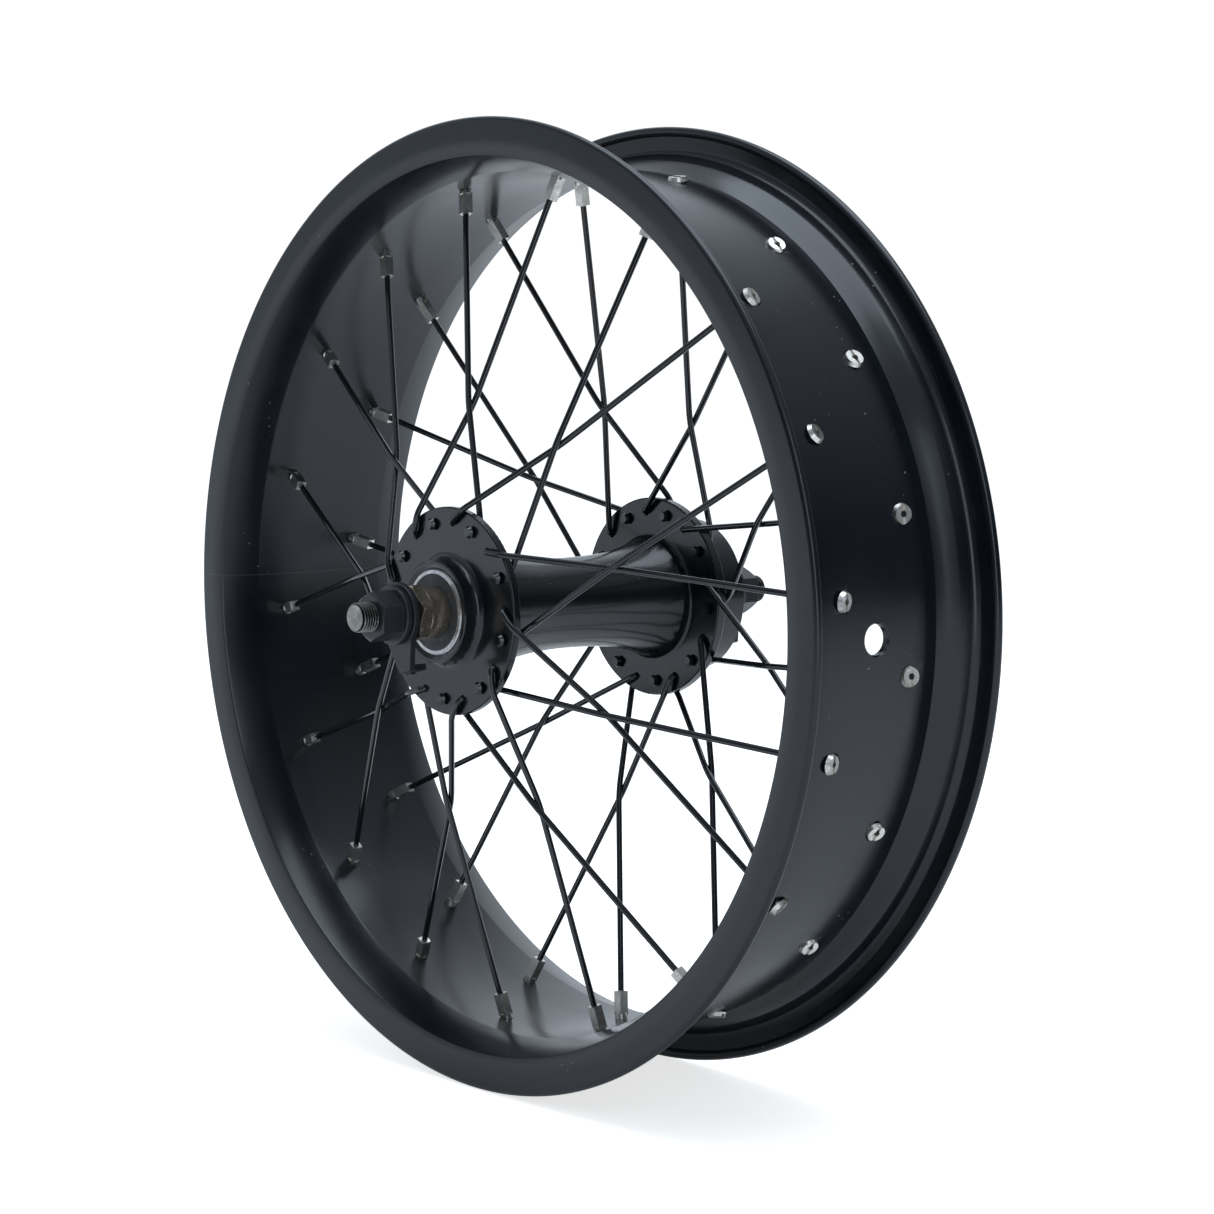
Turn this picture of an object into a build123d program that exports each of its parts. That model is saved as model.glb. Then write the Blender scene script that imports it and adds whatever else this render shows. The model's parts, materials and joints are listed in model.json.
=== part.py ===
from build123d import *
from math import cos, pi, radians, sin, tan
import os

# Front wheel of a fat-tyre bicycle: wide single-wall rim, two-cross spokes, disc-brake hub
# on two cartridge bearings, solid threaded axle with hook washers and nuts.
# Origin at the wheel's centre, axle along Y, disc-brake side on +Y, +Z up. Millimetres.

# rim
rim_radius = 158.75
rim_half_width = 40.0
bed_radius = 141.6
bed_thickness = 2.2
hook_radius = 1.65
well_radius = 3.6
valve_hole_diameter = 9.5
valve_angle = -0.75

# spokes and nipples
spokes_per_side = 18
spoke_radius = 1.0
spoke_head_radius = 2.0
spoke_pitch = 360 / spokes_per_side
near_hole_angle = 5.0
far_hole_angle = 15.0
trailing_turn = -40.75
leading_turn = 39.25
near_crossing = 36.15
far_crossing = 29.8
crossing_offset = 1.15
elbow_radius = 2.0
nipple_row = 15.0
nipple_head_radius = 3.4
nipple_head_height = 1.3
nipple_body_radius = 1.95
nipple_end = 133.0
spoke_end = 142.0
spoke_aim_radius = 141.0
spoke_tilt = 18.5
nipple_flats = 3.3
seat_hole_radius = 2.15
seat_recess_radius = 3.55

# hub
flange_radius = 33.8
spoke_hole_circle = 28.8
spoke_hole_radius = 1.25
near_flange_face = -50.2
near_flange_back = -47.2
far_flange_back = 37.6
far_flange_face = 41.2
barrel_radius = 15.0
boss_radius = 16.7
boss_end = -56.3
hub_bore_radius = 11.0
rotor_seat_radius = 26.0
rotor_seat_face = 57.0
rotor_spigot_radius = 17.5
rotor_spigot_end = 59.5
rotor_bolt_circle = 22.0
rotor_bolt_radius = 2.5
rotor_bolt_depth = 8.0

# bearings, 12 x 28 x 8
bearing_inner = 48.0
bearing_outer = 56.0
bearing_middle = (bearing_inner + bearing_outer) / 2
bearing_radius = 14.0
bearing_bore_radius = 6.0
inner_land_radius = 8.3
outer_land_radius = 11.7
seal_seat_radius = 12.5
ball_pitch_radius = 10.0
ball_radius = 2.381
ball_count = 8

# axle and its hardware
axle_radius = 4.7625
axle_end = 87.5
thread_clearance = 0.06
dropout_face = 67.5
collar_radius = 8.4
collar_end = 63.0
lock_nut_flats = 17.0
washer_start = 69.5
washer_end = 71.5
washer_radius = 10.5
washer_hook_radius = 18.6
washer_hook_angle = -75.0
nut_flange_end = 73.7
nut_end = 81.5
nut_flats = 14.3

os.makedirs("parts", exist_ok=True)
upright = (Align.CENTER, Align.CENTER, Align.MIN)
hook_radius_centre = rim_radius - hook_radius
hook_width_centre = rim_half_width - hook_radius


def save(piece, name):
    piece.part.label = name
    export_step(piece.part, f"parts/{name}.step")


def ring(inner, outer, start, end, edge=0.0):
    """A plain round ring along Y, its outer edges broken by a small chamfer."""
    with BuildPart() as body:
        with BuildSketch(Plane.XY):
            with BuildLine():
                Polyline(
                    (inner, start),
                    (outer - edge, start),
                    (outer, start + edge),
                    (outer, end - edge),
                    (outer - edge, end),
                    (inner, end),
                    close=True,
                )
            make_face()
        revolve(axis=Axis.Y)
    return body


def polar(radius, angle, y):
    return Vector(radius * cos(radians(angle)), y, radius * sin(radians(angle)))


def corner(sketch, radius, half_width):
    """The profile's mirrored pair of corners at this radius and distance from the centre."""
    return [
        v for v in sketch.vertices()
        if abs(v.X - radius) < 0.05 and abs(abs(v.Y) - half_width) < 0.05
    ]


# ---- spoke routes ----

def spoke_route(hole_angle, turn, side, outside):
    """Corners of a spoke's centre line: under its head, elbow, flange edge, crossing, rim."""
    face = -near_flange_face if side < 0 else far_flange_face
    back = -near_flange_back if side < 0 else far_flange_back
    crossing = near_crossing if side < 0 else far_crossing
    hole = polar(spoke_hole_circle, hole_angle, 0)
    rim_point = polar(spoke_aim_radius, hole_angle + turn, 0)
    lead = rim_point - hole
    if outside:
        offsets = [back - 1.0, face + 1.5, face + 1.2, crossing - crossing_offset, nipple_row]
    else:
        offsets = [face + 1.0, back - 1.2, back - 1.2, crossing + crossing_offset, nipple_row]
    places = [0.0, 0.0, 0.063, 0.372, 1.0]
    return [hole + lead * t + Vector(0, side * y, 0) for t, y in zip(places, offsets)]


def seat_frame(route):
    """The nipple's seat: on the bed's outer surface, axis along the last run of the spoke."""
    start, finish = route[-2], route[-1]
    along = (finish - start).normalized()
    lift = (bed_radius + bed_thickness - spoke_aim_radius) / cos(radians(spoke_tilt))
    seat = finish + along * lift
    return Plane(origin=seat, x_dir=Vector(0, 1, 0).cross(along), z_dir=along)


def rounded_path(points, radii):
    """Straight runs joined by tangent arcs at the inner points."""
    pieces = []
    previous = points[0]
    for before, here, after, radius in zip(points, points[1:], points[2:], radii):
        arrive = (here - before).normalized()
        leave = (after - here).normalized()
        bend = arrive.get_angle(leave)
        cut = radius * tan(radians(bend / 2))
        arc_start = here - arrive * cut
        arc_end = here + leave * cut
        pieces.append(Line(previous, arc_start, mode=Mode.PRIVATE))
        pieces.append(TangentArc(arc_start, arc_end, tangent=arrive, mode=Mode.PRIVATE))
        previous = arc_end
    pieces.append(Line(previous, points[-1], mode=Mode.PRIVATE))
    return pieces


families = {
    "spoke_near_outer": (near_hole_angle, trailing_turn, -1, True),
    "spoke_near_inner": (near_hole_angle + spoke_pitch, leading_turn, -1, False),
    "spoke_far_inner": (far_hole_angle, trailing_turn, 1, False),
    "spoke_far_outer": (far_hole_angle + spoke_pitch, leading_turn, 1, True),
}
routes = {}
for family, (first_angle, turn, side, outside) in families.items():
    for number in range(spokes_per_side // 2):
        angle = first_angle + 2 * spoke_pitch * number
        routes[f"{family}_{number + 1}"] = (spoke_route(angle, turn, side, outside), side, outside)

# ---- rim ----

with BuildPart() as rim:
    with BuildSketch(Plane.XY) as rim_profile:
        with BuildLine():
            outline = Polyline(
                (bed_radius, 0),
                (bed_radius, 26.5),
                (146.0, 39.4),
                (146.5, rim_half_width),
                (hook_radius_centre, rim_half_width),
            )
            lip = ThreePointArc(
                outline @ 1,
                (
                    hook_radius_centre + hook_radius * cos(pi / 4),
                    hook_width_centre - hook_radius * sin(pi / 4),
                ),
                (155.457, 38.5),
            )
            wall = Polyline(
                lip @ 1,
                (148.9, 38.5),
                (147.65, 33.1),
                (143.2, 26.4),
                (bed_radius + bed_thickness, 21.2),
                (bed_radius + bed_thickness, 0),
            )
            Line(wall @ 1, outline @ 0)
        make_face()
        mirror(about=Plane.XZ)
        fillet(corner(rim_profile, 148.9, 38.5), well_radius)
        fillet(corner(rim_profile, 147.65, 33.1), 0.4)
        fillet(corner(rim_profile, 146.0, 39.4), 0.6)
        fillet(corner(rim_profile, 146.5, rim_half_width), 0.6)
    revolve(axis=Axis.Y)
    for route, side, outside in routes.values():
        # spot-faced seat and hole, both along the spoke's line
        seat = seat_frame(route)
        with Locations(seat.offset(-6)):
            Cylinder(seat_hole_radius, 12, align=upright, mode=Mode.SUBTRACT)
        with Locations(seat):
            Cylinder(seat_recess_radius, 4, align=upright, mode=Mode.SUBTRACT)
    valve_plane = Plane(
        origin=polar(bed_radius - 3, valve_angle, 0),
        x_dir=(0, 1, 0),
        z_dir=polar(1, valve_angle, 0),
    )
    with Locations(valve_plane):
        Cylinder(valve_hole_diameter / 2, 8, align=upright, mode=Mode.SUBTRACT)
save(rim, "rim")

# ---- spokes ----

for name, (route, side, outside) in routes.items():
    start_direction = (route[1] - route[0]).normalized()
    last_run = (route[4] - route[3]).normalized()
    tip = route[4] + last_run * ((spoke_end - spoke_aim_radius) / cos(radians(spoke_tilt)))
    if outside:
        # the outer spoke is also bent where it passes the flange's edge
        stations = [*route[:4], tip]
        bends = [elbow_radius, 9.0, 50.0]
    else:
        stations = [route[0], route[1], route[3], tip]
        bends = [elbow_radius, 60.0]
    with BuildPart() as spoke:
        with BuildLine() as centre_line:
            for piece in rounded_path(stations, bends):
                add(piece)
        with BuildSketch(Plane(origin=stations[0], z_dir=start_direction)):
            Circle(spoke_radius)
        sweep(path=centre_line.line)
        # button head bearing on the flange
        with BuildSketch(Plane(origin=stations[0], x_dir=(1, 0, 0), z_dir=-start_direction)):
            Circle(spoke_head_radius)
        extrude(amount=1.0, taper=32)
    save(spoke, name)

# ---- nipples ----

for row, row_side in (("nipples_near", -1), ("nipples_far", 1)):
    with BuildPart() as nipples:
        for route, side, outside in routes.values():
            if side != row_side:
                continue
            seat = seat_frame(route)
            length = (bed_radius + bed_thickness - nipple_end) / cos(radians(spoke_tilt))
            with BuildSketch(seat.offset(-length)):
                Rectangle(nipple_flats, nipple_flats)
            extrude(amount=length - 3.4)
            with BuildSketch(seat.offset(-4.2)):
                Circle(nipple_body_radius)
            extrude(amount=4.3)
            with BuildSketch(seat.offset(0.05)):
                Circle(nipple_head_radius)
            extrude(amount=nipple_head_height, taper=24)
            with BuildSketch(seat.offset(-length)):
                Circle(spoke_radius + 0.05)
            extrude(amount=length + nipple_head_height + 1, mode=Mode.SUBTRACT)
            with BuildSketch(seat.offset(nipple_head_height - 0.75)):
                Rectangle(9, 1.1)
            extrude(amount=1.5, mode=Mode.SUBTRACT)
    save(nipples, row)

# ---- hub shell ----

with BuildPart() as hub_shell:
    with BuildSketch(Plane.XY) as hub_profile:
        with BuildLine():
            front = Polyline(
                (bearing_radius + 0.02, -bearing_inner),
                (bearing_radius + 0.02, -bearing_outer + 0.6),
                (15.4, boss_end),
                (boss_radius, boss_end),
                (boss_radius + 0.1, near_flange_face),
                (flange_radius, near_flange_face),
                (flange_radius, near_flange_back),
                (20.2, near_flange_back),
                (20.0, -44.0),
            )
            barrel = Spline(
                front @ 1,
                (17.6, -31),
                (15.8, -18),
                (barrel_radius, 0),
                (15.8, 16),
                (17.6, 27),
                (20.0, 34.6),
                tangents=((-0.35, 1), (0.35, 1)),
            )
            back = Polyline(
                barrel @ 1,
                (20.2, far_flange_back),
                (flange_radius, far_flange_back),
                (flange_radius, far_flange_face),
                (24.6, far_flange_face),
                (24.6, 45.4),
                (rotor_seat_radius, 46.0),
                (rotor_seat_radius, rotor_seat_face),
                (rotor_spigot_radius, rotor_seat_face),
                (rotor_spigot_radius, rotor_spigot_end),
                (15.4, rotor_spigot_end),
                (bearing_radius + 0.02, bearing_outer + 0.4),
                (bearing_radius + 0.02, bearing_inner),
                (hub_bore_radius, bearing_inner),
                (hub_bore_radius, -bearing_inner),
                (bearing_radius + 0.02, -bearing_inner),
            )
        make_face()
        fillet(corner(hub_profile, boss_radius + 0.1, -near_flange_face), 2.5)
        fillet(corner(hub_profile, 20.2, -near_flange_back), 1.6)
        fillet(corner(hub_profile, 20.2, far_flange_back), 1.6)
        chamfer(corner(hub_profile, boss_radius, -boss_end), 0.4)
        chamfer(corner(hub_profile, rotor_seat_radius, rotor_seat_face), 0.4)
        for edge_y in (-near_flange_face, -near_flange_back, far_flange_back, far_flange_face):
            fillet(corner(hub_profile, flange_radius, edge_y), 0.5)
    revolve(axis=Axis.Y)
    for first_angle, back_y, height in (
        (near_hole_angle, near_flange_face - 1, 5),
        (far_hole_angle, far_flange_back - 1, 5.6),
    ):
        for number in range(spokes_per_side):
            hole_angle = first_angle + spoke_pitch * number
            hole_plane = Plane(
                origin=polar(spoke_hole_circle, hole_angle, back_y), x_dir=(1, 0, 0), z_dir=(0, 1, 0)
            )
            with Locations(hole_plane):
                Cylinder(spoke_hole_radius, height, align=upright, mode=Mode.SUBTRACT)
    for number in range(6):
        bolt_plane = Plane(
            origin=polar(rotor_bolt_circle, 60 * number + 30, rotor_seat_face - rotor_bolt_depth),
            x_dir=(1, 0, 0),
            z_dir=(0, 1, 0),
        )
        with Locations(bolt_plane):
            Cylinder(rotor_bolt_radius, rotor_bolt_depth + 1, align=upright, mode=Mode.SUBTRACT)
save(hub_shell, "hub_shell")

# ---- axle and centre tube ----

axle = ring(0, axle_radius, -axle_end, axle_end, 0.62)
save(axle, "axle")
spacer_tube = ring(6.3, 7.9, -bearing_inner, bearing_inner, 0.3)
save(spacer_tube, "bearing_spacer_tube")

# ---- bearings and axle hardware, the same on both sides ----

bore = axle_radius + thread_clearance
for end_name, end_side in (("near", -1), ("far", 1)):

    def span(first, last):
        return sorted((end_side * first, end_side * last))

    groove_radius = ball_radius + 0.06
    middle = end_side * bearing_middle
    race_start, race_end = span(bearing_inner, bearing_outer)

    with BuildPart() as outer_ring:
        with BuildSketch(Plane.XY):
            with BuildLine():
                Polyline(
                    (outer_land_radius, race_start + 0.8),
                    (seal_seat_radius, race_start + 0.8),
                    (seal_seat_radius, race_start),
                    (bearing_radius - 0.4, race_start),
                    (bearing_radius, race_start + 0.4),
                    (bearing_radius, race_end - 0.4),
                    (bearing_radius - 0.4, race_end),
                    (seal_seat_radius, race_end),
                    (seal_seat_radius, race_end - 0.8),
                    (outer_land_radius, race_end - 0.8),
                    close=True,
                )
            make_face()
            with Locations((ball_pitch_radius, middle)):
                Circle(groove_radius, mode=Mode.SUBTRACT)
        revolve(axis=Axis.Y)
    save(outer_ring, f"{end_name}_bearing_outer_ring")

    with BuildPart() as inner_ring:
        with BuildSketch(Plane.XY):
            with Locations(((bearing_bore_radius + inner_land_radius) / 2, middle)):
                Rectangle(inner_land_radius - bearing_bore_radius, 8)
            with Locations((ball_pitch_radius, middle)):
                Circle(groove_radius, mode=Mode.SUBTRACT)
        revolve(axis=Axis.Y)
    save(inner_ring, f"{end_name}_bearing_inner_ring")

    with BuildPart() as balls:
        for number in range(ball_count):
            with Locations(polar(ball_pitch_radius, 360 / ball_count * number, middle)):
                Sphere(ball_radius)
    save(balls, f"{end_name}_bearing_balls")

    with BuildPart() as cage:
        with BuildSketch(Plane.XY):
            with Locations((ball_pitch_radius, middle)):
                Rectangle(1.0, 5.8)
        revolve(axis=Axis.Y)
        for number in range(ball_count):
            pocket_angle = 360 / ball_count * number
            pocket_plane = Plane(
                origin=polar(ball_pitch_radius - 3, pocket_angle, middle),
                x_dir=(0, 1, 0),
                z_dir=polar(1, pocket_angle, 0),
            )
            with Locations(pocket_plane):
                Cylinder(ball_radius + 0.05, 6, align=upright, mode=Mode.SUBTRACT)
    save(cage, f"{end_name}_bearing_cage")

    with BuildPart() as seals:
        for face in (race_start, race_end - 0.7):
            with BuildSketch(Plane.XY):
                with Locations((inner_land_radius + 0.06, face)):
                    Rectangle(
                        seal_seat_radius - 0.02 - inner_land_radius - 0.06, 0.7, align=(Align.MIN, Align.MIN)
                    )
            revolve(axis=Axis.Y)
    save(seals, f"{end_name}_bearing_seals")

    # collar: a nose inside the bearing's bore, then a round shoulder against its inner ring
    with BuildPart() as collar:
        with BuildSketch(Plane.XY) as collar_profile:
            with BuildLine():
                nose = bearing_bore_radius - 0.02
                Polyline(
                    (bore, end_side * (bearing_inner + 0.5)),
                    (nose, end_side * (bearing_inner + 0.5)),
                    (nose, end_side * bearing_outer),
                    (collar_radius - 0.2, end_side * bearing_outer),
                    (collar_radius, end_side * (bearing_outer + 0.2)),
                    (collar_radius, end_side * (collar_end - 0.4)),
                    (collar_radius - 0.4, end_side * collar_end),
                    (bore, end_side * collar_end),
                    close=True,
                )
            make_face()
        revolve(axis=Axis.Y)
    save(collar, f"{end_name}_spacer_collar")

    def hexagon_nut(flats, start, finish, turn, washer_faced=False):
        """A hexagonal nut whose corners are turned off to a cone at the ends."""
        start_plane = Plane(origin=(0, end_side * start, 0), x_dir=polar(1, turn, 0), z_dir=(0, end_side, 0))
        height = finish - start
        corner_radius = flats / 2 / cos(radians(30))
        with BuildPart() as nut:
            with BuildSketch(start_plane):
                RegularPolygon(radius=corner_radius, side_count=6)
                Circle(bore, mode=Mode.SUBTRACT)
            extrude(amount=height)
            with BuildSketch(Plane.XY):
                with BuildLine():
                    low = corner_radius if washer_faced else flats / 2 + 0.1
                    Polyline(
                        (0, end_side * start),
                        (low, end_side * start),
                        (corner_radius + 0.01, end_side * (start + 0.55)),
                        (corner_radius + 0.01, end_side * (finish - 0.75)),
                        (flats / 2 - 0.3, end_side * finish),
                        (0, end_side * finish),
                        close=True,
                    )
                make_face()
            revolve(axis=Axis.Y, mode=Mode.INTERSECT)
        return nut

    lock_nut = hexagon_nut(lock_nut_flats, collar_end, dropout_face, 14)
    save(lock_nut, f"{end_name}_lock_nut")

    # hook washer: ring, tapering tail, and a tab folded toward the hub
    washer_plane = Plane(
        origin=(0, end_side * washer_start, 0), x_dir=polar(1, washer_hook_angle, 0), z_dir=(0, end_side, 0)
    )
    with BuildPart() as hook_washer:
        with BuildSketch(washer_plane):
            Circle(washer_radius)
            with BuildLine():
                Polyline(
                    (8.0, 6.4),
                    (washer_hook_radius, 2.7),
                    (washer_hook_radius, -2.7),
                    (8.0, -6.4),
                    close=True,
                )
            make_face()
            Circle(bore, mode=Mode.SUBTRACT)
        extrude(amount=washer_end - washer_start)
        with BuildSketch(washer_plane):
            with Locations((washer_hook_radius - 1.0, 0)):
                Rectangle(2.0, 4.6)
        extrude(amount=-5.2)
    save(hook_washer, f"{end_name}_hook_washer")

    nut_turn = 24 if end_side < 0 else 33
    nut = hexagon_nut(nut_flats, nut_flange_end - 0.2, nut_end, nut_turn, washer_faced=True)
    nut_flange = ring(bore, 9.5, *span(washer_end, nut_flange_end), 0.3)
    with BuildPart() as axle_nut:
        add(nut.part)
        add(nut_flange.part)
    save(axle_nut, f"{end_name}_axle_nut")
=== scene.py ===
import bmesh
import bpy
import json
from math import cos, pi, radians, sin, tau
from mathutils import Matrix, Vector


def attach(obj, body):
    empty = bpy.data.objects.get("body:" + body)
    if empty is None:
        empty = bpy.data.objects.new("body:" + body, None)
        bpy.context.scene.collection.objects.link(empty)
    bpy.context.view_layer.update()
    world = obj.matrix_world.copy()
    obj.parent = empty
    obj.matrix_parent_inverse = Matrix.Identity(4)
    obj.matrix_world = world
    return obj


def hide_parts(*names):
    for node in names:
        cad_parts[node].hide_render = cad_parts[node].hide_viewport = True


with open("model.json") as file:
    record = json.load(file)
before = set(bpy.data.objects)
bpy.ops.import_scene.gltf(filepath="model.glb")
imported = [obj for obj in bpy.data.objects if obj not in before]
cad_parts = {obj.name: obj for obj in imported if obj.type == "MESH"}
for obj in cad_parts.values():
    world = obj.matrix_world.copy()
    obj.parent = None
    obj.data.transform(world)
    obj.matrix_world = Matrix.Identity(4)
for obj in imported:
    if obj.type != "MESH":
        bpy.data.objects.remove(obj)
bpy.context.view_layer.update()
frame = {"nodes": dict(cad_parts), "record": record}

nodes = frame["nodes"]
slot_of = {entry["node"]: entry["material_slot"] for entry in frame["record"]["subparts"]}
MM = 0.001
FLOAT = "NodeSocketFloat"

# rim, spokes and nipples (mm, degrees)
RIM_STEPS = 288
LIP_CENTRE = (157.1, 38.35)
LIP_RADIUS = 1.65
WELL_CENTRE = (152.04, 34.9)
WELL_RADIUS = 3.6
SPOKE_HOLE_CIRCLE = 28.8
SPOKE_AIM_RADIUS = 141.0
SPOKES_PER_FAMILY = 9
FAMILY_PITCH = 40
CROSSING_SHARE = 0.372
NIPPLE_ROW = 15.0
SEAT_LIFT = 2.95
SEAT_HOLE_RADIUS = 2.15
SEAT_RECESS_RADIUS = 3.55
VALVE_ANGLE = -0.75
VALVE_HOLE_RADIUS = 4.75
VALVE_MOUTH_RADIUS = 5.6

# axle (mm)
THREAD_PITCH = 25.4 / 26
THREAD_DEPTH = 0.55
THREAD_START = 64.0
THREAD_STEPS = 36
AXLE_RADIUS = 4.7625
AXLE_END = 87.5
END_FACE_RADIUS = 4.14

# light
BACKDROP_REFLECTION = 0.9
SKY_REFLECTION = 0.45
ROOM_REFLECTION = 0.07
BACKDROP_BRIGHTNESS = 1.05
COOL_SKY = (0.82, 0.91, 1.0, 1.0)
COOL_LIGHT = (0.78, 0.89, 1.0)

# ---------------------------------------------------------------- shader helpers


def group_tree(name, outputs, inputs=()):
    """A shader node group with these sockets, each (name, socket type[, default])."""
    tree = bpy.data.node_groups.new(name, "ShaderNodeTree")
    for label, kind, default in inputs:
        socket = tree.interface.new_socket(label, in_out="INPUT", socket_type=kind)
        socket.default_value = default
    for label, kind in outputs:
        tree.interface.new_socket(label, in_out="OUTPUT", socket_type=kind)
    return tree, tree.nodes.new("NodeGroupInput"), tree.nodes.new("NodeGroupOutput")


def node(tree, kind, links=None, **settings):
    made = tree.nodes.new(kind)
    for key, value in settings.items():
        setattr(made, key, value)
    for socket, source in (links or {}).items():
        target = made.inputs[socket]
        if isinstance(source, bpy.types.NodeSocket):
            tree.links.new(source, target)
        else:
            target.default_value = source
    return made


def math_node(tree, operation, first, second=0.0, clamp=False):
    made = node(tree, "ShaderNodeMath", {0: first, 1: second}, operation=operation, use_clamp=clamp)
    return made.outputs[0]


def remap(tree, value, low, high, to_low=0.0, to_high=1.0):
    made = node(
        tree, "ShaderNodeMapRange",
        {"Value": value, "From Min": low, "From Max": high, "To Min": to_low, "To Max": to_high},
    )
    made.clamp = True
    return made.outputs[0]


def make_paint_surface():
    """Baked paint: fine peel in the height, cloudy gloss, and a few dust specks."""
    tree, group_in, group_out = group_tree(
        "paint_surface",
        [("Height", FLOAT), ("Cloud", FLOAT), ("Dust", FLOAT)],
        [("Peel Scale", FLOAT, 900.0), ("Dust Amount", FLOAT, 0.5)],
    )
    place = node(tree, "ShaderNodeTexCoord").outputs["Object"]
    peel = node(tree, "ShaderNodeTexNoise", {
        "Vector": place, "Scale": group_in.outputs["Peel Scale"], "Detail": 2.0, "Roughness": 0.45})
    cloud = node(tree, "ShaderNodeTexNoise", {
        "Vector": place, "Scale": 28.0, "Detail": 4.0, "Roughness": 0.55})
    specks = node(tree, "ShaderNodeTexVoronoi", {"Vector": place, "Scale": 260.0, "Randomness": 1.0})
    patches = node(tree, "ShaderNodeTexNoise", {"Vector": place, "Scale": 35.0, "Detail": 2.0})
    speck = remap(tree, specks.outputs["Distance"], 0.05, 0.09, 1.0, 0.0)
    patch = remap(tree, patches.outputs["Fac"], 0.58, 0.68)
    dust = math_node(tree, "MULTIPLY", speck, patch)
    dust = math_node(tree, "MULTIPLY", dust, group_in.outputs["Dust Amount"])
    tree.links.new(peel.outputs["Fac"], group_out.inputs["Height"])
    tree.links.new(remap(tree, cloud.outputs["Fac"], 0.3, 0.7), group_out.inputs["Cloud"])
    tree.links.new(dust, group_out.inputs["Dust"])
    return tree


def make_turned_surface():
    """Lathe-turned metal: fine rings about the axle, scratches and dull patches."""
    tree, group_in, group_out = group_tree(
        "turned_surface",
        [("Height", FLOAT), ("Patch", FLOAT), ("Scratch", FLOAT)],
        [("Ring Scale", FLOAT, 3500.0)],
    )
    place = node(tree, "ShaderNodeTexCoord").outputs["Object"]
    parts = node(tree, "ShaderNodeSeparateXYZ", {0: place})
    across = math_node(tree, "MULTIPLY", parts.outputs["X"], parts.outputs["X"])
    upward = math_node(tree, "MULTIPLY", parts.outputs["Z"], parts.outputs["Z"])
    radius = math_node(tree, "SQRT", math_node(tree, "ADD", across, upward))
    run = math_node(tree, "ADD", radius, parts.outputs["Y"])
    ring_place = math_node(tree, "MULTIPLY", run, group_in.outputs["Ring Scale"])
    lines = node(
        tree, "ShaderNodeTexNoise", {"W": ring_place, "Scale": 1.0, "Detail": 3.0}, noise_dimensions="1D"
    )
    dull = node(tree, "ShaderNodeTexNoise", {
        "Vector": place, "Scale": 160.0, "Detail": 5.0, "Roughness": 0.6})
    marks = node(tree, "ShaderNodeTexNoise", {
        "Vector": place, "Scale": 620.0, "Detail": 3.0, "Distortion": 1.5})
    tree.links.new(lines.outputs["Fac"], group_out.inputs["Height"])
    tree.links.new(remap(tree, dull.outputs["Fac"], 0.35, 0.65), group_out.inputs["Patch"])
    tree.links.new(remap(tree, marks.outputs["Fac"], 0.6, 0.66), group_out.inputs["Scratch"])
    return tree


paint_surface = make_paint_surface()
turned_surface = make_turned_surface()


def new_material(name):
    material = bpy.data.materials.new(name)
    material.use_nodes = True
    tree = material.node_tree
    return material, tree, tree.nodes["Principled BSDF"]


def mix_colours(tree, factor, first, second):
    made = node(tree, "ShaderNodeMix", data_type="RGBA")
    tree.links.new(factor, made.inputs[0])
    for socket, colour in ((6, first), (7, second)):
        if isinstance(colour, bpy.types.NodeSocket):
            tree.links.new(colour, made.inputs[socket])
        else:
            made.inputs[socket].default_value = (*colour, 1.0)
    return made.outputs[2]


def add_bump(tree, shader, height, strength, distance):
    bump = node(tree, "ShaderNodeBump", {"Height": height, "Strength": strength, "Distance": distance})
    tree.links.new(bump.outputs["Normal"], shader.inputs["Normal"])


def painted(name, colour, gloss, peel_scale, peel_depth, coat=0.0, dust=0.5):
    """Black paint; gloss is (smoothest, roughest)."""
    material, tree, shader = new_material(name)
    surface = node(tree, "ShaderNodeGroup", node_tree=paint_surface)
    surface.inputs["Peel Scale"].default_value = peel_scale
    surface.inputs["Dust Amount"].default_value = dust
    tone = mix_colours(tree, surface.outputs["Cloud"], colour, [c * 1.35 for c in colour])
    dusty = mix_colours(tree, surface.outputs["Dust"], tone, (0.36, 0.35, 0.33))
    tree.links.new(dusty, shader.inputs["Base Color"])
    rough = remap(tree, surface.outputs["Cloud"], 0.0, 1.0, *gloss)
    dust_dulling = math_node(tree, "MULTIPLY", surface.outputs["Dust"], 0.4)
    rough = math_node(tree, "ADD", rough, dust_dulling, clamp=True)
    tree.links.new(rough, shader.inputs["Roughness"])
    shader.inputs["Coat Weight"].default_value = coat
    shader.inputs["Coat Roughness"].default_value = 0.06
    add_bump(tree, shader, surface.outputs["Height"], 0.35, peel_depth)
    return material


def turned(name, colour, dull_colour, gloss, ring_scale, depth, metallic=1.0):
    material, tree, shader = new_material(name)
    surface = node(tree, "ShaderNodeGroup", node_tree=turned_surface)
    surface.inputs["Ring Scale"].default_value = ring_scale
    tone = mix_colours(tree, surface.outputs["Patch"], colour, dull_colour)
    tone = mix_colours(tree, surface.outputs["Scratch"], tone, [min(c * 1.3, 0.95) for c in colour])
    tree.links.new(tone, shader.inputs["Base Color"])
    tree.links.new(remap(tree, surface.outputs["Patch"], 0.0, 1.0, *gloss), shader.inputs["Roughness"])
    shader.inputs["Metallic"].default_value = metallic
    add_bump(tree, shader, surface.outputs["Height"], 0.3, depth)
    return material


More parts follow.
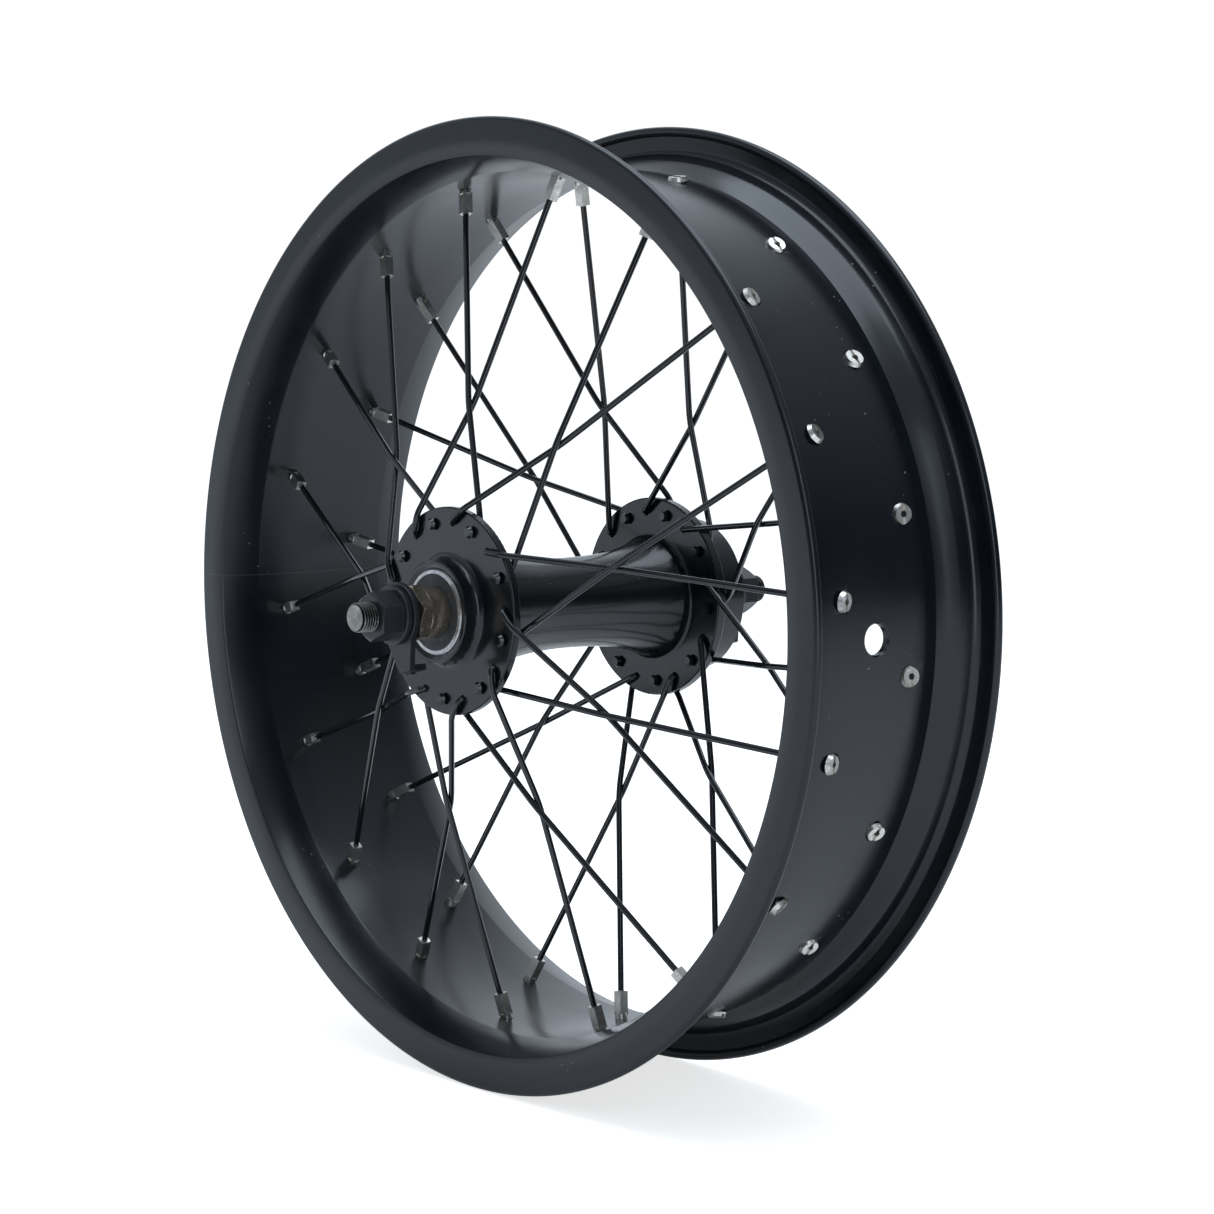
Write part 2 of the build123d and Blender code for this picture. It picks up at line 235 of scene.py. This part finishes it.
materials = {
    "rim_black": painted(
        "rim_black", (0.0045, 0.006, 0.009), (0.18, 0.27), 1500.0, 0.000015, dust=0.7,
    ),
    "hub_black": painted(
        "hub_black", (0.003, 0.004, 0.006), (0.16, 0.24), 620.0, 0.00003, coat=0.15, dust=0.35,
    ),
    "spoke_black": painted(
        "spoke_black", (0.006, 0.0065, 0.008), (0.1, 0.17), 1400.0, 0.000008, coat=0.3, dust=0.2,
    ),
    "black_steel": painted(
        "black_steel", (0.012, 0.013, 0.016), (0.28, 0.4), 1800.0, 0.00003, dust=0.25,
    ),
    "nickel": turned(
        "nickel", (0.8, 0.78, 0.74), (0.6, 0.56, 0.51), (0.26, 0.42), 2500.0, 0.000006,
    ),
    "worn_steel": turned(
        "worn_steel", (0.36, 0.35, 0.33), (0.16, 0.155, 0.15), (0.26, 0.42), 2600.0, 0.000004,
    ),
    "plain_steel": turned(
        "plain_steel", (0.52, 0.52, 0.53), (0.4, 0.4, 0.41), (0.25, 0.4), 3000.0, 0.00001,
    ),
    "bearing_steel": turned(
        "bearing_steel", (0.5, 0.5, 0.51), (0.36, 0.36, 0.37), (0.22, 0.34), 5200.0, 0.000006,
    ),
    "ball_steel": turned(
        "ball_steel", (0.85, 0.85, 0.87), (0.8, 0.8, 0.82), (0.05, 0.1), 800.0, 0.000002,
    ),
    "zinc_steel": turned(
        "zinc_steel", (0.52, 0.45, 0.36), (0.36, 0.3, 0.23), (0.22, 0.42), 3600.0, 0.00002,
    ),
    "seal_rubber": turned(
        "seal_rubber", (0.035, 0.036, 0.04), (0.02, 0.02, 0.023), (0.5, 0.65), 1500.0, 0.00008, 0.0,
    ),
}


def add_rim_seam(material):
    """The rim's butt joint opposite the valve: a paler hairline across the section."""
    tree = material.node_tree
    shader = tree.nodes["Principled BSDF"]
    place = node(tree, "ShaderNodeTexCoord").outputs["Object"]
    parts = node(tree, "ShaderNodeSeparateXYZ", {0: place})
    backward = math_node(tree, "MULTIPLY", parts.outputs["X"], -1.0)
    angle = math_node(tree, "ARCTAN2", parts.outputs["Z"], backward)
    offset = math_node(tree, "SUBTRACT", angle, radians(1.0))
    gap = math_node(tree, "ABSOLUTE", offset)
    line = remap(tree, gap, 0.0008, 0.0016, 1.0, 0.0)
    tone = shader.inputs["Base Color"].links[0].from_socket
    tree.links.new(mix_colours(tree, line, tone, (0.03, 0.032, 0.036)), shader.inputs["Base Color"])


add_rim_seam(materials["rim_black"])


def add_thread_root_shade(material):
    """Painted shade in the thread's roots: the colour darkens towards the root radius, short of the end face;
    the crests keep the worn steel's colour.
    """
    tree = material.node_tree
    shader = tree.nodes["Principled BSDF"]
    place = node(tree, "ShaderNodeTexCoord").outputs["Object"]
    level = node(tree, "ShaderNodeVectorMath", {0: place, 1: (1.0, 0.0, 1.0)}, operation="MULTIPLY")
    radius = node(tree, "ShaderNodeVectorMath", {0: level.outputs[0]}, operation="LENGTH").outputs["Value"]
    facing_end = node(tree, "ShaderNodeSeparateXYZ", {0: place}).outputs["Y"]
    along_end = remap(tree, math_node(tree, "ABSOLUTE", facing_end), 0.08742, 0.08748, 1.0, 0.0)
    root_shade_mask = math_node(tree, "MULTIPLY", remap(tree, radius, 0.00432, 0.0047, 1.0, 0.0), along_end)
    tone = shader.inputs["Base Color"].links[0].from_socket
    # painted shade: the thread's roots are darkened in the base colour
    tree.links.new(mix_colours(tree, root_shade_mask, tone, (0.025, 0.023, 0.02)), shader.inputs["Base Color"])


add_thread_root_shade(materials["worn_steel"])

# ---------------------------------------------------------------- mesh helpers


def finish_piece(name, mesh_work, slot, body, replaced=(), sharp=32):
    bmesh.ops.recalc_face_normals(mesh_work, faces=mesh_work.faces)
    mesh = bpy.data.meshes.new(name)
    mesh_work.to_mesh(mesh)
    mesh_work.free()
    return place_piece(name, mesh, slot, body, replaced, sharp)


def place_piece(name, mesh, slot, body, replaced=(), sharp=32):
    for polygon in mesh.polygons:
        polygon.use_smooth = True
    mesh.set_sharp_from_angle(angle=radians(sharp))
    piece = bpy.data.objects.new(name, mesh)
    bpy.context.scene.collection.objects.link(piece)
    mesh.materials.clear()
    mesh.materials.append(materials[slot])
    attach(piece, body)
    if replaced:
        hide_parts(*replaced)
    return piece


def spun(profile, steps, closed=True):
    """A profile of (radius, along the axle) turned about the axle."""
    work = bmesh.new()
    points = [work.verts.new((r, y, 0)) for r, y in profile]
    for first, second in zip(points, points[1:]):
        work.edges.new((first, second))
    if closed:
        work.edges.new((points[-1], points[0]))
    bmesh.ops.spin(
        work, geom=work.verts[:] + work.edges[:], cent=(0, 0, 0), axis=(0, 1, 0),
        angle=tau, steps=steps, use_merge=True,
    )
    return work


def arc(centre, radius, start, end, steps):
    return [
        (centre[0] + radius * cos(radians(start + (end - start) * i / steps)),
         centre[1] + radius * sin(radians(start + (end - start) * i / steps)))
        for i in range(steps + 1)
    ]


# ---------------------------------------------------------------- rim

half = (
    [(141.6, 0), (141.6, 13), (141.6, 26.1), (141.72, 26.9), (143.8, 33.0), (145.9, 39.1), (146.25, 39.75)]
    + [(146.8, 40.0), (152.0, 40.0)]
    + arc(LIP_CENTRE, LIP_RADIUS, 90, -185, 22)
    + [(155.46, 38.5), (154.0, 38.5)]
    + arc(WELL_CENTRE, WELL_RADIUS, 90, 162.5, 10)
    + [(148.1, 34.5), (147.85, 33.7), (147.6, 33.1), (147.3, 32.55), (145.2, 29.5)]
    + [(143.35, 26.65), (143.17, 26.3), (143.22, 25.95), (143.75, 21.5), (143.8, 20.9), (143.8, 12), (143.8, 0)]
)
# points within 0.05 mm of the one before are dropped
profile = []
for r, y in half:
    if not profile or abs(r - profile[-1][0]) + abs(y - profile[-1][1]) > 0.05:
        profile.append((r, y))
section = profile + [(r, -y) for r, y in reversed(profile[1:-1])]
rim_work = spun([(r * MM, y * MM) for r, y in section], RIM_STEPS)
bmesh.ops.remove_doubles(rim_work, verts=rim_work.verts, dist=0.000001)
bmesh.ops.recalc_face_normals(rim_work, faces=rim_work.faces)


def polar(radius, degrees, y):
    return Vector((radius * cos(radians(degrees)), y, radius * sin(radians(degrees))))


def nipple_lines():
    """(seat, direction) of each nipple: the last run of its spoke, from crossing to rim."""
    found = []
    # first hole's angle, turn to the rim, side of the hub, distance out at the crossing
    for first, turn, side, crossing in (
        (5, -40.75, -1, 35.0),
        (25, 39.25, -1, 37.3),
        (15, -40.75, 1, 30.95),
        (35, 39.25, 1, 28.65),
    ):
        for number in range(SPOKES_PER_FAMILY):
            hole_angle = first + FAMILY_PITCH * number
            hole = polar(SPOKE_HOLE_CIRCLE, hole_angle, 0)
            tip = polar(SPOKE_AIM_RADIUS, hole_angle + turn, 0)
            bend = hole + (tip - hole) * CROSSING_SHARE + Vector((0, side * crossing, 0))
            end = tip + Vector((0, side * NIPPLE_ROW, 0))
            along = (end - bend).normalized()
            found.append((end + along * SEAT_LIFT, along))
    return found


cutter = bmesh.new()


def cut_rod(work, base, direction, radius, length, top_radius=None, segments=32):
    turn = direction.to_track_quat("Z", "Y").to_matrix().to_4x4()
    middle = Matrix.Translation(base + direction * (length / 2)) @ turn
    bmesh.ops.create_cone(
        work, cap_ends=True, segments=segments, radius1=radius, radius2=top_radius or radius,
        depth=length, matrix=middle,
    )


def boolean_cut(work, tool_work, name):
    """The first mesh less the second, as a new mesh."""
    target = bpy.data.objects.new(name + "_blank", bpy.data.meshes.new(name + "_blank"))
    tool = bpy.data.objects.new(name + "_tool", bpy.data.meshes.new(name + "_tool"))
    for item, source in ((target, work), (tool, tool_work)):
        source.to_mesh(item.data)
        source.free()
        bpy.context.scene.collection.objects.link(item)
    modifier = target.modifiers.new("cut", "BOOLEAN")
    modifier.object = tool
    modifier.operation = "DIFFERENCE"
    modifier.solver = "EXACT"
    modifier.use_self = True
    depsgraph = bpy.context.evaluated_depsgraph_get()
    result = bpy.data.meshes.new_from_object(target.evaluated_get(depsgraph))
    result.name = name
    for item in (target, tool):
        bpy.data.objects.remove(item, do_unlink=True)
    return result


for seat, along in nipple_lines():
    cut_rod(cutter, (seat - along * 6) * MM, along, SEAT_HOLE_RADIUS * MM, 6.2 * MM)
    cut_rod(cutter, seat * MM, along, SEAT_RECESS_RADIUS * MM, 4 * MM)
valve_way = polar(1, VALVE_ANGLE, 0)
cut_rod(cutter, valve_way * (138.0 * MM), valve_way, VALVE_HOLE_RADIUS * MM, 8 * MM, segments=64)
cut_rod(
    cutter, valve_way * (143.1 * MM), valve_way, 4.7 * MM, 1.0 * MM, VALVE_MOUTH_RADIUS * MM, segments=64
)
rim_mesh = boolean_cut(rim_work, cutter, "rim_section")
place_piece("rim_section", rim_mesh, "rim_black", "wheel", ("rim",), 28)

# ---------------------------------------------------------------- axle with its rolled thread


def threaded_end(side):
    """A right-hand thread wound out from the middle, cut square and chamfered at the end."""
    work = bmesh.new()
    start, end, steps = THREAD_START, AXLE_END, THREAD_STEPS
    turns = int((end - start) / THREAD_PITCH) + 2
    crest, root = AXLE_RADIUS - 0.01, AXLE_RADIUS - THREAD_DEPTH
    shape = [(root, 0.0), (root, 0.1), (crest, 0.43), (crest, 0.55), (root, 0.88), (root, 1.0)]
    line = [work.verts.new((r * MM, (start + t * THREAD_PITCH - THREAD_PITCH) * MM, 0)) for r, t in shape]
    for first, second in zip(line, line[1:]):
        work.edges.new((first, second))
    bmesh.ops.spin(
        work, geom=work.verts[:] + work.edges[:], cent=(0, 0, 0), axis=(0, 1, 0),
        dvec=(0, THREAD_PITCH * MM / steps, 0), angle=tau * turns, steps=steps * turns, use_merge=False,
    )
    bmesh.ops.remove_doubles(work, verts=work.verts, dist=0.000004)
    for y, outward in ((end, 1), (start + 1.0, -1)):
        bmesh.ops.bisect_plane(
            work, geom=work.verts[:] + work.edges[:] + work.faces[:], dist=1e-7,
            plane_co=(0, y * MM, 0), plane_no=(0, outward, 0), clear_outer=True,
        )
    # chamfer: nothing stands outside a 45-degree cone at the end
    for vert in work.verts:
        limit = (END_FACE_RADIUS + (end - vert.co.y / MM)) * MM
        radius = (vert.co.x ** 2 + vert.co.z ** 2) ** 0.5
        if radius > limit:
            vert.co.x *= limit / radius
            vert.co.z *= limit / radius
    bmesh.ops.create_circle(
        work, cap_ends=True, segments=THREAD_STEPS, radius=END_FACE_RADIUS * MM,
        matrix=Matrix.Translation((0, end * MM, 0)) @ Matrix.Rotation(radians(-90), 4, "X"),
    )
    if side < 0:
        # turned round, not mirrored, so that the thread stays right-handed
        bmesh.ops.rotate(work, verts=work.verts, cent=(0, 0, 0), matrix=Matrix.Rotation(pi, 3, "Z"))
    return finish_piece(
        "axle_thread_far" if side > 0 else "axle_thread_near", work, "worn_steel", "axle_set", ("axle",), 30
    )


threaded_end(-1)
threaded_end(1)
core = spun([(0.0001, -0.0855), (0.00421, -0.0855), (0.00421, 0.0855), (0.0001, 0.0855)], 36, closed=False)
finish_piece("axle_core", core, "worn_steel", "axle_set", ("axle",))

# ---------------------------------------------------------------- carried-over parts

for name, item in nodes.items():
    finish = materials[slot_of[name]]
    if item.material_slots:
        for material_slot in item.material_slots:
            material_slot.link = "OBJECT"
            material_slot.material = finish
    else:
        item.data.materials.append(finish)
    if name.endswith(("axle_nut", "lock_nut", "hook_washer")):
        weld = item.modifiers.new("weld", "WELD")
        weld.merge_threshold = 0.000005
        soften = item.modifiers.new("soften", "BEVEL")
        soften.width = 0.00022
        soften.segments = 3
        soften.limit_method = "ANGLE"
        soften.angle_limit = radians(28)
        soften.harden_normals = False

# ---------------------------------------------------------------- floor, light, camera

bpy.ops.mesh.primitive_plane_add(size=30, location=(0, 0, -0.1588))
floor = bpy.context.object
floor.name = "floor"
floor_paint, floor_tree, floor_shader = new_material("pale_floor")
floor_noise = node(floor_tree, "ShaderNodeTexNoise", {
    "Vector": node(floor_tree, "ShaderNodeTexCoord").outputs["Object"], "Scale": 3.0})
floor_tree.links.new(
    mix_colours(floor_tree, floor_noise.outputs["Fac"], (0.9, 0.9, 0.9), (0.92, 0.92, 0.92)),
    floor_shader.inputs["Base Color"],
)
floor_shader.inputs["Roughness"].default_value = 0.9
floor_shader.inputs["Emission Color"].default_value = (1, 1, 1, 1)
floor_ray = node(floor_tree, "ShaderNodeLightPath")
floor_glow = remap(floor_tree, floor_ray.outputs["Is Camera Ray"], 0.0, 1.0, 0.12, 0.72)
floor_tree.links.new(floor_glow, floor_shader.inputs["Emission Strength"])
floor_shader.inputs["Specular IOR Level"].default_value = 0.0
floor.data.materials.append(floor_paint)

world = bpy.data.worlds.new("studio")
bpy.context.scene.world = world
world.use_nodes = True
world_tree = world.node_tree
background = world_tree.nodes["Background"]
direction = node(world_tree, "ShaderNodeTexCoord").outputs["Generated"]
toward_back = node(
    world_tree, "ShaderNodeVectorMath", {0: direction, 1: (-0.75, 0.66, 0.0)}, operation="DOT_PRODUCT"
)
height = node(world_tree, "ShaderNodeSeparateXYZ", {0: direction}).outputs["Z"]
backdrop_glow = remap(world_tree, toward_back.outputs["Value"], 0.45, 0.85, 0.0, BACKDROP_REFLECTION)
sky_glow = remap(world_tree, height, 0.25, 0.85, 0.0, SKY_REFLECTION)
glow = math_node(world_tree, "ADD", math_node(world_tree, "ADD", backdrop_glow, sky_glow), ROOM_REFLECTION)
ray = node(world_tree, "ShaderNodeLightPath")
backdrop = node(world_tree, "ShaderNodeMix", data_type="FLOAT")
world_tree.links.new(ray.outputs["Is Camera Ray"], backdrop.inputs[0])
world_tree.links.new(glow, backdrop.inputs[2])
backdrop.inputs[3].default_value = BACKDROP_BRIGHTNESS
world_tree.links.new(backdrop.outputs[0], background.inputs["Strength"])
shade = node(world_tree, "ShaderNodeMix", data_type="RGBA")
world_tree.links.new(ray.outputs["Is Camera Ray"], shade.inputs[0])
shade.inputs[6].default_value = COOL_SKY
shade.inputs[7].default_value = (1.0, 1.0, 1.0, 1.0)
world_tree.links.new(shade.outputs[2], background.inputs["Color"])


def softbox(name, location, width, height, power):
    light = bpy.data.lights.new(name, "AREA")
    light.shape = "RECTANGLE"
    light.size = width
    light.size_y = height
    light.energy = power
    light.color = COOL_LIGHT
    lamp = bpy.data.objects.new(name, light)
    lamp.location = location
    lamp.rotation_euler = (-Vector(location)).to_track_quat("-Z", "Y").to_euler()
    bpy.context.scene.collection.objects.link(lamp)


softbox("top_softbox", (0.1, 0.1, 1.6), 1.4, 1.4, 18)
softbox("left_front_softbox", (-1.3, -1.15, 0.3), 1.5, 1.4, 3.6)
softbox("right_softbox", (1.5, -0.8, 0.35), 0.6, 1.6, 6)

camera_data = bpy.data.cameras.new("camera")
camera_data.sensor_width = 36
camera_data.lens = 91.05
camera_data.clip_start = 0.01
camera = bpy.data.objects.new("camera", camera_data)
camera.location = (0.781106, -0.657676, 0.087368)
camera.rotation_euler = Vector((-0.75361, 0.65158, -0.08672)).to_track_quat("-Z", "Y").to_euler()
bpy.context.scene.collection.objects.link(camera)
bpy.context.scene.camera = camera
bpy.context.scene.view_settings.view_transform = "Standard"
